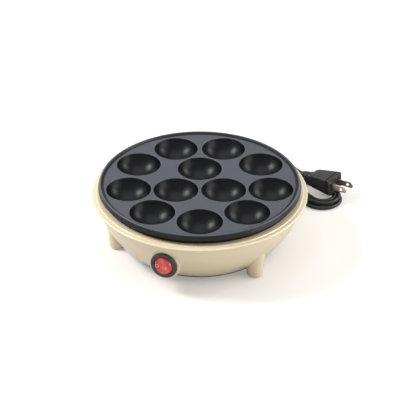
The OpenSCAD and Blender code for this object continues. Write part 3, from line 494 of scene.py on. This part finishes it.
@dataclass(frozen=True)
class CreamMoulding:
    """The casing's cream plastic: semi-gloss, with painted shade that makes it darker and warmer
    low down.
    """

    name: str = "cream_moulding"
    colour: Colour = (0.735, 0.635, 0.447)
    # painted shade colour for the lower bowl and legs, over the height span below
    low_shade_colour: Colour = (0.725, 0.618, 0.423)
    low: Pair = (0.004, 0.040)
    cloud: float = 14.0
    skin: float = 2600.0
    rough: float = 0.33
    coat: float = 0.7
    coat_rough: float = 0.11
    relief: float = 0.000012

    def make(self) -> bpy.types.Material:
        """Builds the material.

        Returns:
            The material.
        """
        shader = Shader(self.name)
        cloud = shader.noise(self.cloud)
        skin = shader.noise(self.skin, 2.0, 0.6)
        # painted shade, strongest at the bottom
        low_shade = 1 - shader.axis(2).rise(*self.low)
        shader.set(
            Base_Color=shader.mix(low_shade * 0.6 + cloud * 0.25, self.colour, self.low_shade_colour),
            Roughness=self.rough + skin.about(0.10) + cloud.about(0.08),
            Coat_Weight=self.coat,
            Coat_Roughness=self.coat_rough,
        )
        shader.bump(skin, self.relief)
        return shader.material


@dataclass(frozen=True)
class RedLens:
    """The rocker's translucent red plastic, paler where the light comes through."""

    name: str = "red_lens"
    deep: Colour = (0.540, 0.028, 0.022)
    pale: Colour = (0.760, 0.100, 0.080)
    cloud: float = 210.0
    rough: float = 0.2
    coat: float = 0.25
    coat_rough: float = 0.1
    ior: float = 1.49
    scatter: float = 0.25
    scatter_radius: Triple = (0.004, 0.0008, 0.0006)
    relief: float = 0.00002

    def make(self) -> bpy.types.Material:
        """Builds the material.

        Returns:
            The material.
        """
        shader = Shader(self.name)
        inside = shader.noise(self.cloud, 2.0, 0.6)
        shader.set(
            Base_Color=shader.mix(inside.rise(0.3, 0.7), self.deep, self.pale),
            Roughness=self.rough + inside.about(0.08),
            Coat_Weight=self.coat,
            Coat_Roughness=self.coat_rough,
            IOR=self.ior,
            Subsurface_Weight=self.scatter,
            Subsurface_Radius=self.scatter_radius,
            Subsurface_Scale=1.0,
        )
        shader.bump(inside, self.relief)
        return shader.material


@dataclass(frozen=True)
class PanSheet:
    """The pan's aluminised sheet: dull, browned towards the rim, where the dark brown is partly
    the browning that heating gives and partly painted shade in the gap under the plate.
    """

    name: str = "pan_sheet"
    colour: Colour = (0.560, 0.560, 0.545)
    # brown from heating on the sheet, darkened as painted shade for the gap under the plate
    brown_and_shade_colour: Colour = (0.045, 0.024, 0.013)
    tint_edge: Pair = (0.084, 0.0955)
    turned: float = 5200.0
    brushed: float = 320.0
    cloud: float = 24.0
    rough: float = 0.36
    relief: float = 0.00002

    def make(self) -> bpy.types.Material:
        """Builds the material.

        Returns:
            The material.
        """
        shader = Shader(self.name)
        radius = shader.radius()
        lines = radius.wave(self.turned) * 0.5 + shader.noise(self.brushed, 3.0) * 0.5
        cloud = shader.noise(self.cloud, 3.0)
        # where the browning and painted shade lie, towards the rim
        brown_and_shade = (radius.rise(*self.tint_edge) + cloud.rise(0.45, 0.8) * 0.15).least(1)
        shader.set(
            Base_Color=shader.mix(brown_and_shade, self.colour, self.brown_and_shade_colour),
            Metallic=1.0,
            Roughness=self.rough + lines.about(0.14),
        )
        shader.bump(lines, self.relief, 0.6)
        return shader.material


@dataclass(frozen=True)
class HeaterSheath:
    """The heater's oxidised sheath: dark, mottled, with a bluish bloom."""

    name: str = "heater_sheath"
    dark: Colour = (0.060, 0.052, 0.047)
    bloom: Colour = (0.130, 0.125, 0.140)
    mottle: float = 160.0
    skin: float = 2400.0
    rough: float = 0.5
    metal: float = 0.6
    relief: float = 0.00004

    def make(self) -> bpy.types.Material:
        """Builds the material.

        Returns:
            The material.
        """
        shader = Shader(self.name)
        mottle = shader.noise(self.mottle, 4.0, 0.6)
        shader.set(
            Base_Color=shader.mix(mottle.rise(0.35, 0.7), self.dark, self.bloom),
            Metallic=self.metal,
            Roughness=self.rough + mottle.about(0.25),
        )
        shader.bump(shader.noise(self.skin) * 0.5 + mottle * 0.5, self.relief, 0.6)
        return shader.material


@dataclass(frozen=True)
class CordVinyl:
    """Black vinyl of the cord and the plug: satin, with a faint scuffed bloom."""

    name: str = "cord_vinyl"
    colour: Colour = (0.0100, 0.0100, 0.0104)
    scuff: Colour = (0.0200, 0.0196, 0.0198)
    rough: float = 0.38
    cloud: float = 90.0
    skin: float = 2600.0
    ior: float = 1.4
    relief: float = 0.00003

    def make(self) -> bpy.types.Material:
        """Builds the material.

        Returns:
            The material.
        """
        shader = Shader(self.name)
        cloud = shader.noise(self.cloud, 3.0)
        skin = shader.noise(self.skin, 2.0, 0.6)
        shader.set(
            Base_Color=shader.mix(cloud.rise(0.4, 0.75), self.colour, self.scuff),
            Roughness=self.rough + cloud.about(0.14) + skin.about(0.08),
            IOR=self.ior,
        )
        shader.bump(skin, self.relief, 0.7)
        return shader.material


class Look(Enum):
    """Every finish of the cooker."""

    COATING = CastCoating()
    CREAM = CreamMoulding()
    LENS = RedLens()
    PAN = PanSheet()
    SHEATH = HeaterSheath()
    VINYL = CordVinyl()
    PLUG_VINYL = CordVinyl("plug_vinyl", (0.0085, 0.0083, 0.0095), (0.0170, 0.0165, 0.0185), 0.46)
    BEZEL = GlossFinish(
        "bezel_black", (0.020, 0.019, 0.018), 0.32, vary=0.2, grain=1800.0, coat=0.3
    )
    MARK = Finish("mark_white", (0.76, 0.47, 0.45), 0.4, vary=0.04)
    COVER = Finish(
        "cover_paint", (0.030, 0.030, 0.031), 0.55, vary=0.25, grain=2200.0, relief=0.00004
    )
    FOOT = Finish(
        "foot_rubber", (0.028, 0.028, 0.028), 0.75, vary=0.2, grain=2000.0, relief=0.00005
    )
    SCREW = Finish("zinc_plate", (0.50, 0.50, 0.47), 0.34, 1.0, vary=0.15, grain=1600.0)
    CLIP = Finish(
        "clip_steel", (0.44, 0.44, 0.43), 0.4, 1.0, vary=0.2, grain=1400.0, stretch=(0.2, 1.0, 1.0)
    )
    CERAMIC = Finish(
        "white_ceramic", (0.78, 0.76, 0.70), 0.6, vary=0.08, grain=1500.0, relief=0.00005
    )
    BAKELITE = Finish("brown_bakelite", (0.026, 0.021, 0.018), 0.45, vary=0.3, grain=1100.0)
    BLADE = Finish(
        "blade_brass", (0.80, 0.71, 0.58), 0.30, 1.0, grain=1300.0, stretch=(0.25, 1.0, 1.0)
    )
    LAMP = GlossFinish(
        "lamp_glass", (0.80, 0.42, 0.25), 0.15, vary=0.1, coat=1.0, coat_rough=0.03
    )
    WIRE_BLACK = Finish("wire_black", (0.018, 0.018, 0.018), 0.45, vary=0.2)
    WIRE_WHITE = Finish("wire_white", (0.68, 0.67, 0.63), vary=0.06)
    WIRE_RED = Finish("wire_red", (0.42, 0.022, 0.018), 0.45)
    WIRE_BLUE = Finish("wire_blue", (0.022, 0.055, 0.30), 0.45)
    TIE = Finish("tie_black", (0.022, 0.022, 0.022), vary=0.2, grain=1500.0, relief=0.00004)

    def material(self) -> bpy.types.Material:
        """The finish's material, made the first time that it is asked for."""
        return bpy.data.materials.get(self.value.name + ENDING) or self.value.make()


def dress_node(node: str, look: Look) -> None:
    """Gives a node of the model its finish.

    Args:
        node: The node's name.
        look: Its finish.
    """
    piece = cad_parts[node]
    if not piece.material_slots:
        piece.data.materials.append(look.material())
    for holder in piece.material_slots:
        holder.material = look.material()
    LOG.info("%s: %s", node, look.value.name)


def piece_from(name: str, mesh: bmesh.types.BMesh, look: Look, body: str) -> None:
    """Makes a finished piece of a bmesh.

    Args:
        name: The piece's name.
        mesh: Its shape in place, which is freed.
        look: Its finish.
        body: The body that it rides on.
    """
    data = bpy.data.meshes.new(name)
    mesh.to_mesh(data)
    mesh.free()
    data.materials.append(look.material())
    piece = bpy.data.objects.new(name, data)
    bpy.context.scene.collection.objects.link(piece)
    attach(piece, body)
    LOG.info("%s: %d faces", name, len(data.polygons))


def smooth_line(points: Sequence[Vector], parts: int) -> list[Vector]:
    """A smooth curve through points.

    Args:
        points: The points that it passes.
        parts: How many steps it takes between two of them.

    Returns:
        The points along the curve.
    """
    line: list[Vector] = []
    last = len(points) - 1
    for i in range(last):
        a, b, c, d = (points[max(0, min(last, i + k))] for k in (-1, 0, 1, 2))
        slope, bend, twist = c - a, 2 * a - 5 * b + 4 * c - d, 3 * b - a - 3 * c + d
        for k in range(parts):
            t = k / parts
            line.append(0.5 * (2 * b + slope * t + bend * t * t + twist * t**3))
    line.append(points[last].copy())
    return line


# ---- studio -------------------------------------------------------------------------------


@dataclass(frozen=True)
class Softbox:
    """A square lamp: its direction from the cooker, its side in metres and its power in watts."""

    name: str
    towards: Triple
    size: float
    watts: float

    def build(self, aim: Vector, distance: float) -> None:
        """Makes the lamp.

        Args:
            aim: What it points at.
            distance: How far it stands from there.
        """
        data = bpy.data.lights.new(self.name, "AREA")
        data.shape, data.size, data.energy = "SQUARE", self.size, self.watts
        lamp = bpy.data.objects.new(self.name, data)
        towards = Vector(self.towards)
        lamp.location = aim + towards.normalized() * distance
        lamp.rotation_mode = "QUATERNION"
        lamp.rotation_quaternion = towards.to_track_quat("Z", "Y")
        bpy.context.scene.collection.objects.link(lamp)


@dataclass
class Studio:
    """The camera of the photograph, a pale floor and soft lamps."""

    eye: Triple = (0.4590885, -1.2607126, 0.8859853)
    right: Triple = (0.93969262, 0.34202014, 0.0)
    up: Triple = (-0.18153658, 0.49876767, 0.84751123)
    back: Triple = (0.28986591, -0.79640005, 0.53077746)
    lens: float = 142.36
    sensor: float = 36.0
    clip: Pair = (0.05, 20.0)
    lamps: tuple[Softbox, ...] = (
        Softbox("left_softbox", (-0.707, -0.196, 0.679), 0.40, 14.0),
        Softbox("right_softbox", (0.705, 0.517, 0.486), 0.44, 5.1),
        Softbox("top_softbox", (-0.02, 0.08, 0.99), 1.0, 5.5),
        Softbox("side_softbox", (0.97, 0.05, 0.21), 0.9, 9.5),
    )
    aim: Triple = (0.0, 0.0, 0.05)
    distance: float = 1.25
    sky: float = 0.40
    sky_colour: Colour = (1.0, 0.995, 0.985)
    white: Colour = (1.0, 1.0, 1.0)
    floor_colour: Colour = (0.665, 0.642, 0.615)
    floor_half: float = 6.0
    floor_drop: float = 0.0002
    glow: float = 0.265
    far_glow: float = 0.7
    far: Pair = (0.4, 1.8)

    def build(self) -> None:
        """Makes the camera, the lamps, the sky and the floor."""
        self.camera()
        for lamp in self.lamps:
            lamp.build(Vector(self.aim), self.distance)
        self.world()
        self.floor()
        bpy.context.scene.view_settings.view_transform = "Standard"

    def camera(self) -> None:
        """Makes the camera at the photograph's place."""
        data = bpy.data.cameras.new("camera")
        data.sensor_width = self.sensor
        data.lens = self.lens
        data.clip_start, data.clip_end = self.clip
        camera = bpy.data.objects.new("camera", data)
        turn = Matrix((self.right, self.up, self.back)).transposed().to_4x4()
        camera.matrix_world = Matrix.Translation(self.eye) @ turn
        bpy.context.scene.collection.objects.link(camera)
        bpy.context.scene.camera = camera

    def world(self) -> None:
        """Lights the scene from a pale sky that mirrors, glass and the camera see as white."""
        world = bpy.data.worlds.new("sky")
        world.use_nodes = True
        graph = Graph(world.node_tree)
        light, white = (
            graph.node("ShaderNodeBackground", None, {"Color": rgba(colour), "Strength": strength})
            for colour, strength in ((self.sky_colour, self.sky), (self.white, 1.0))
        )
        seen = graph.rays("Camera", "Glossy", "Transmission")
        blend = graph.node(
            "ShaderNodeMixShader", None, {0: seen, 1: light.outputs[0], 2: white.outputs[0]}
        )
        graph.node("ShaderNodeOutputWorld", None, {"Surface": blend.outputs[0]})
        bpy.context.scene.world = world

    def floor(self) -> None:
        """Makes a white floor that keeps the cooker's shadow and stays white far away."""
        mesh = bmesh.new()
        bmesh.ops.create_grid(mesh, x_segments=1, y_segments=1, size=self.floor_half)
        bmesh.ops.translate(mesh, vec=(0.0, 0.0, -self.floor_drop), verts=mesh.verts)
        data = bpy.data.meshes.new("floor")
        mesh.to_mesh(data)
        mesh.free()
        shader = Shader("floor_white")
        away = shader.radius().rise(*self.far)
        shader.set(
            Base_Color=rgba(self.floor_colour),
            Roughness=0.9,
            Specular_IOR_Level=0.1,
            Emission_Color=shader.rays("Camera") * (self.glow + away * self.far_glow),
            Emission_Strength=1.0,
        )
        data.materials.append(shader.material)
        floor = bpy.data.objects.new("floor", data)
        bpy.context.scene.collection.objects.link(floor)


# ---- cord ---------------------------------------------------------------------------------


@dataclass
class MainsCord:
    """The mains cord: a lead from the gland, a folded hank of four loops and a tail to the plug.

    A loop of the hank is a run out, a fold, a run back and a second fold. The two routes hold
    chosen points in millimetres.
    """

    thickness: float = 0.004
    air: float = 0.00045
    run: float = 0.080
    fold: float = 0.0208
    waist: float = 0.005
    tie_lift: float = 0.00075
    loops: int = 4
    layer_loops: int = 2
    loop_steps: int = 72
    run_share: float = 1 / 6
    fold_share: float = 1 / 3
    at: Pair = (0.0958, 0.1133)
    turn: float = math.radians(-28)
    gland_tip: float = 0.118
    gland_angle: float = math.radians(118)
    gland_z: float = 0.026
    plug_front: Pair = (0.1077, 0.1194)
    plug_turn: float = math.radians(-17)
    plug_pitch: float = math.radians(4.5)
    plug_length: float = 0.0275
    plug_half: float = 0.00925
    plug_back_half: float = 0.0075
    plug_air: float = 0.00015
    relief_length: float = 0.020
    stub: float = 0.0015
    route_steps: int = 5
    bevel_steps: int = 5
    lead_route: tuple[Triple, ...] = (
        (-59, 111, 25.5), (-62, 118.5, 23), (-64, 125.5, 18.5), (-64, 132, 13),
        (-61.5, 138.5, 8), (-56.5, 143.5, 4.5), (-49.5, 147.6, 2.5), (-41, 150.2, 2),
        (-32, 150.9, 2), (-23, 149.8, 2), (-15, 147.3, 2), (-7.5, 144, 2), (0.5, 139.9, 2),
    )  # fmt: skip
    tail_route: tuple[Triple, ...] = (
        (25.5, 127.9, 7.3), (30.9, 126.9, 9.3), (36.7, 128, 11.3), (42.3, 130.9, 12.9),
        (48.3, 133, 13.7), (54.5, 134.2, 14.3),
    )  # fmt: skip

    @property
    def layer(self) -> float:
        """Height of one layer of the hank."""
        return self.thickness + self.air

    @property
    def side_step(self) -> float:
        """Distance between two loops of one layer, wider where the waist slopes."""
        return self.layer / math.cos(math.atan(math.pi * self.waist / self.run))

    def offset(self, turns: float) -> float:
        """Distance of the cord from the hank's long axis after that many loops."""
        phase = turns - self.run_share / 2
        inwards = phase if phase <= self.layer_loops else 2 * self.layer_loops - phase
        return self.fold - self.side_step * inwards

    def height(self, turns: float) -> float:
        """Height of the cord's line; it climbs along the first run of each layer but the first."""
        whole = math.floor(turns / self.layer_loops)
        along = min(1.0, (turns - whole * self.layer_loops) / self.run_share)
        layers = 0.0 if whole < 1 else whole - 1 + (1 - math.cos(math.pi * along)) / 2
        return self.thickness / 2 + self.layer * layers

    def in_hank(self, turns: float) -> Vector:
        """A point of the hank in its own frame, with 0 on x at the fold that shows."""
        half, part = divmod(turns - math.floor(turns), 0.5)
        side = -1 if half == 0 else 1
        reach, z = self.offset(turns), self.height(turns)
        if part <= self.run_share:
            x = -self.run * (part / self.run_share if side == 1 else 1 - part / self.run_share)
            pull = math.sin(math.pi * (x + self.run) / self.run) ** 2
            return Vector((x, side * (reach - self.waist * pull), z + self.tie_lift * pull))
        angle = math.pi * (part - self.run_share) / self.fold_share + side * math.pi / 2
        centre = -self.run if side == 1 else 0.0
        return Vector((centre + reach * math.cos(angle), reach * math.sin(angle), z))

    def placed(self, point: Vector) -> Vector:
        """A point of the hank's frame in the cooker's."""
        return Matrix.Rotation(self.turn, 3, "Z") @ point + Vector((*self.at, 0.0))

    def route(self) -> list[Vector]:
        """The cord's whole line.

        Returns:
            Points from the gland's tip to the plug's strain relief.
        """
        count = self.loops * self.loop_steps
        hank = [self.placed(self.in_hank(i / self.loop_steps)) for i in range(count + 1)]
        along = Matrix.Rotation(self.turn, 3, "Z") @ Vector((1.0, 0.0, 0.0))
        first, last = hank[0] - along * self.thickness, hank[-1] + along * self.thickness
        out = Vector((math.cos(self.gland_angle), math.sin(self.gland_angle), 0.0))
        start = out * self.gland_tip + Vector((0.0, 0.0, self.gland_z))
        lead = [start, start + out * self.thickness]
        lead += [Vector(point) * MM for point in self.lead_route]
        lead += [first - along * self.thickness, first]
        axis, plug = self.relief_tip()
        tail = [last, last + along * self.stub]
        tail += [Vector(point) * MM for point in self.tail_route]
        tail += [plug - axis * self.stub, plug]
        line = smooth_line(lead, self.route_steps) + hank + smooth_line(tail, self.route_steps)
        for point in line:
            point.z = max(point.z, self.thickness / 2)
        return line

    def relief_tip(self) -> tuple[Vector, Vector]:
        """Where the cord meets the plug, which lies on the hank with its front a little up.

        Returns:
            The plug's direction and the tip of its strain relief.
        """
        level, sunk = math.cos(self.plug_pitch), math.sin(self.plug_pitch)
        axis = Vector((level * math.cos(self.plug_turn), level * math.sin(self.plug_turn), sunk))
        top = self.layer * self.loops / self.layer_loops - self.air + self.tie_lift / 4
        rise = max(self.plug_half, self.plug_back_half + self.plug_length * sunk)
        front = Vector((*self.plug_front, top + self.plug_air + rise))
        return axis, front - axis * (self.plug_length + self.relief_length)

    def build(self) -> None:
        """Makes the cord as one curve in place of its three plain tubes."""
        line = self.route()
        data = bpy.data.curves.new("mains_cord", "CURVE")
        data.dimensions = "3D"
        data.bevel_depth = self.thickness / 2
        data.bevel_resolution = self.bevel_steps
        data.use_fill_caps = True
        spline = data.splines.new("POLY")
        spline.points.add(len(line) - 1)
        for point, place in zip(spline.points, line):
            point.co = (*place, 1.0)
        data.materials.append(Look.VINYL.material())
        cord = bpy.data.objects.new("mains_cord", data)
        bpy.context.scene.collection.objects.link(cord)
        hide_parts("cord_lead", "cord_hank", "cord_tail")
        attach(cord, "base")
        length = sum((b - a).length for a, b in zip(line, line[1:]))
        LOG.info("mains_cord: %.0f mm in %d points", length / MM, len(line))


# ---- switch -------------------------------------------------------------------------------


@dataclass
class Rocker:
    """The marks on the rocker: a ring for off on its left half and a bar for on on its right."""

    centre_z: float = 0.031
    pivot_at: float = 0.098
    face: float = 0.005
    tilt: float = math.radians(11)
    ring_r: float = 0.0019
    ring_segments: int = 40
    stroke: float = 0.0006
    bar_length: float = 0.0040
    bar_segments: int = 16
    reach: float = 0.0052
    proud: float = 0.00012

    def place(self, side: int) -> Matrix:
        """Where a mark lies.

        Args:
            side: -1 for the half with the ring, 1 for the half with the bar.

        Returns:
            The placement of a mark made flat about the origin, with +Y up the face.
        """
        return (
            Matrix.Translation((0.0, 0.0, self.centre_z))
            @ Matrix.Rotation(math.pi, 4, "Z")
            @ Matrix.Rotation(-math.pi / 2, 4, "X")
            @ Matrix.Translation((0.0, 0.0, self.pivot_at))
            @ Matrix.Rotation(self.tilt, 4, "Y")
            @ Matrix.Translation((0.0, 0.0, self.face))
            @ Matrix.Rotation(side * self.tilt, 4, "Y")
            @ Matrix.Translation((-side * self.reach, 0.0, 0.0))
        )

    def ring(self) -> bmesh.types.BMesh:
        """The ring, flat about the origin."""
        mesh = bmesh.new()
        outer = bmesh.ops.create_circle(
            mesh, cap_ends=True, radius=self.ring_r, segments=self.ring_segments
        )
        face = outer["verts"][0].link_faces[0]
        bmesh.ops.inset_region(
            mesh, faces=[face], thickness=self.stroke, use_boundary=True, use_even_offset=True
        )
        bmesh.ops.delete(mesh, geom=[face], context="FACES_ONLY")
        return mesh

    def bar(self) -> bmesh.types.BMesh:
        """The bar, flat about the origin, with round ends."""
        mesh = bmesh.new()
        circle = bmesh.ops.create_circle(
            mesh, cap_ends=True, radius=self.stroke / 2, segments=self.bar_segments
        )
        for vert in circle["verts"]:
            vert.co.y += math.copysign((self.bar_length - self.stroke) / 2, vert.co.y)
        return mesh

    def build(self) -> None:
        """Makes both marks."""
        for name, side, mesh in (("mark_off", -1, self.ring()), ("mark_on", 1, self.bar())):
            raised = bmesh.ops.extrude_face_region(mesh, geom=mesh.faces[:])
            tops = [v for v in raised["geom"] if isinstance(v, bmesh.types.BMVert)]
            bmesh.ops.translate(mesh, vec=(0.0, 0.0, self.proud), verts=tops)
            bmesh.ops.recalc_face_normals(mesh, faces=mesh.faces)
            bmesh.ops.transform(mesh, matrix=self.place(side), verts=mesh.verts)
            piece_from(name, mesh, Look.MARK, "rocker")


# ---- assemblies ---------------------------------------------------------------------------


@dataclass(frozen=True)
class Assembly:
    """A group of the model's own nodes and the finish of each."""

    title: str
    looks: dict[str, Look]

    def build(self) -> None:
        """Dresses the nodes."""
        LOG.info("%s: %d nodes", self.title, len(self.looks))
        for node, look in self.looks.items():
            dress_node(node, look)


ASSEMBLIES = (
    Assembly("plate", {"cooking_plate": Look.COATING}),
    Assembly(
        "base",
        {
            "casing": Look.CREAM,
            "bottom_cover": Look.COVER,
            "cover_screws": Look.SCREW,
            "rubber_feet": Look.FOOT,
            "reflector_pan": Look.PAN,
            "pan_screws": Look.SCREW,
        },
    ),
    Assembly(
        "heater",
        {
            "heater_tube": Look.SHEATH,
            "heater_clips": Look.CLIP,
            "heater_insulators": Look.CERAMIC,
            "heater_pins": Look.SCREW,
            "thermostat": Look.BAKELITE,
            "thermostat_rivets": Look.SCREW,
            "thermal_fuse": Look.CERAMIC,
            "fuse_clip": Look.CLIP,
        },
    ),
    Assembly(
        "switch",
        {
            "switch_bezel": Look.BEZEL,
            "switch_rocker": Look.LENS,
            "switch_lamp": Look.LAMP,
            "switch_terminals": Look.BLADE,
        },
    ),
    Assembly(
        "wires",
        {
            "live_wire": Look.WIRE_BLACK,
            "switched_wire": Look.WIRE_RED,
            "fused_wire": Look.WIRE_WHITE,
            "neutral_wire": Look.WIRE_WHITE,
            "lamp_wire": Look.WIRE_BLUE,
        },
    ),
    Assembly(
        "cord",
        {
            "cord_inner": Look.VINYL,
            "cord_clamp": Look.BAKELITE,
            "clamp_screws": Look.SCREW,
            "cord_gland": Look.VINYL,
            "cord_tie": Look.TIE,
            "plug_relief": Look.PLUG_VINYL,
            "plug_body": Look.PLUG_VINYL,
            "plug_blades": Look.BLADE,
        },
    ),
)


def main() -> None:
    """Builds the scene."""
    logging.basicConfig(level=logging.INFO, format="%(message)s")
    Studio().build()
    MainsCord().build()
    for assembly in ASSEMBLIES:
        assembly.build()
    Rocker().build()


if __name__ == "__main__":
    main()
